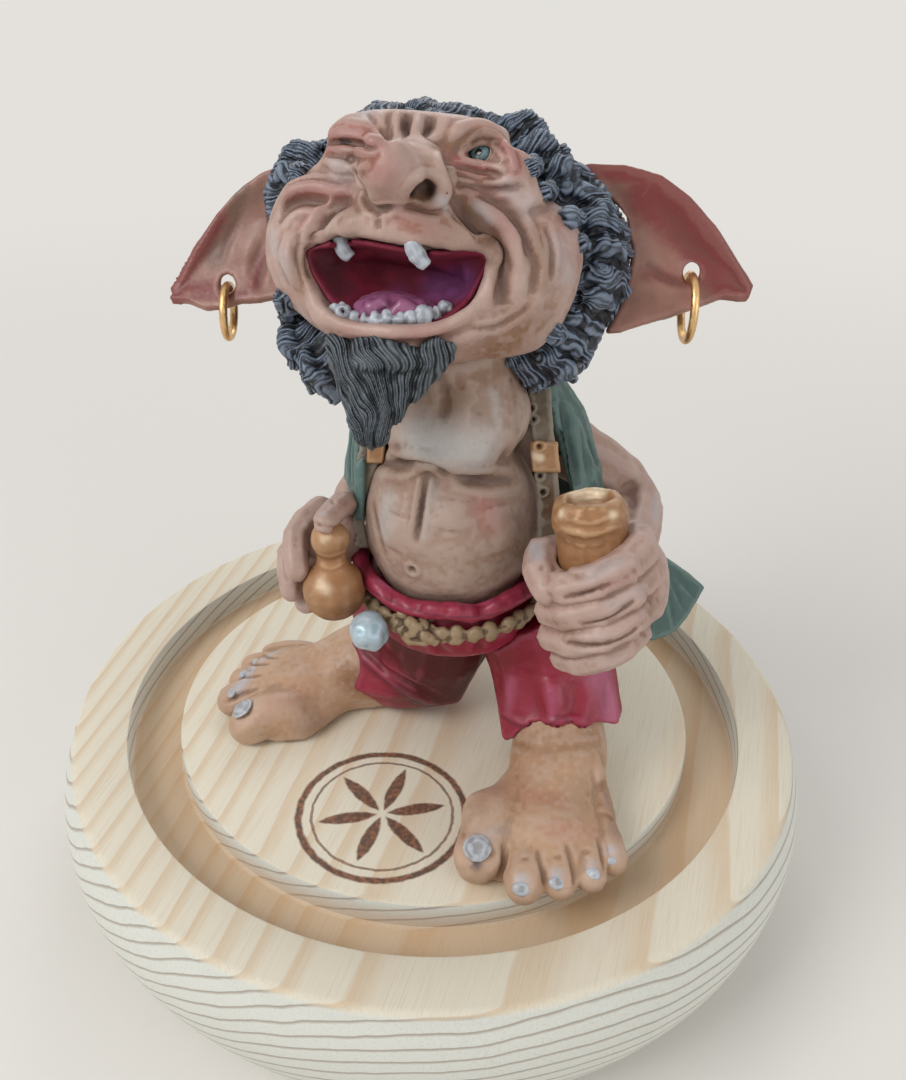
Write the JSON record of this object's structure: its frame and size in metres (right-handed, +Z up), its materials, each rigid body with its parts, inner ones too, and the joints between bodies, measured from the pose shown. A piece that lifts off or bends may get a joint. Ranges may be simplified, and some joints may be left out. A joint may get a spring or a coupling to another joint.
{
  "type": "imp figurine on a wooden plinth",
  "caption": "Painted clay imp with big ears, gold ear rings that swing, cup and gourd, standing on a turned pine plinth with a groove for a glass dome.",
  "frame": {"origin": "centre of the plinth's underside", "axes": "+Z up, the imp faces -Y and its left arm is towards +X"},
  "size_m": [0.2066, 0.2066, 0.2064],
  "materials": {
    "pine": "sanded and waxed",
    "skin": "painted clay, dark wash in the creases",
    "hair": "painted clay, dry-brushed grey",
    "crimson": "painted clay",
    "green": "painted clay",
    "ear_skin": "painted clay",
    "mouth": "painted clay",
    "tongue": "painted clay",
    "ivory": "painted clay",
    "eye": "varnished paint",
    "gold_paint": "metallic paint on clay",
    "silver_paint": "metallic paint on clay",
    "bone": "painted clay",
    "strap": "clay painted as leather",
    "gold_wire": "polished wire",
    "steel_wire": "plain wire"
  },
  "bodies": {
    "figurine": {"plinth": "pine", "head": "skin", "mouth_lining": "mouth", "tongue": "tongue", "lower_teeth": "ivory", "upper_tooth_left": "ivory", "upper_tooth_right": "ivory", "eyeball_left": "eye", "eyeball_right": "eye", "beard": "hair", "hair_crown": "hair", "hair_left": "hair", "hair_right": "hair", "hair_back": "hair", "ear_left": "ear_skin", "ear_right": "ear_skin", "torso": "skin", "trousers_seat": "crimson", "waist_frill": "crimson", "belt": "bone", "belt_ball": "silver_paint", "trouser_leg_left": "crimson", "trouser_leg_right": "crimson", "foot_left": "skin", "foot_right": "skin", "toenail_left": "ivory", "toenail_right": "ivory", "cup": "gold_paint", "gourd_bottle": "gold_paint", "hand_left": "skin", "hand_right": "skin", "arm_left": "skin", "arm_right": "skin", "brace_left": "strap", "brace_right": "strap", "buckle_left": "gold_paint", "buckle_right": "gold_paint", "vest_back": "green", "vest_left": "green", "vest_right": "green", "wire_spine": "steel_wire", "wire_leg_left": "steel_wire", "wire_leg_right": "steel_wire"},
    "ring_left": {"earring_left": "gold_wire"},
    "ring_right": {"earring_right": "gold_wire"}
  },
  "joints": [
    {"name": "ring_left_swing", "type": "hinge", "parent": "figurine", "child": "ring_left", "pos_m": [0.0547, -0.00338, 0.17241], "axis": [0, 1, 0], "range_deg": [-30, 30]},
    {"name": "ring_right_swing", "type": "hinge", "parent": "figurine", "child": "ring_right", "pos_m": [-0.04917, 0.00062, 0.16562], "axis": [0, 1, 0], "range_deg": [-30, 30]}
  ]
}
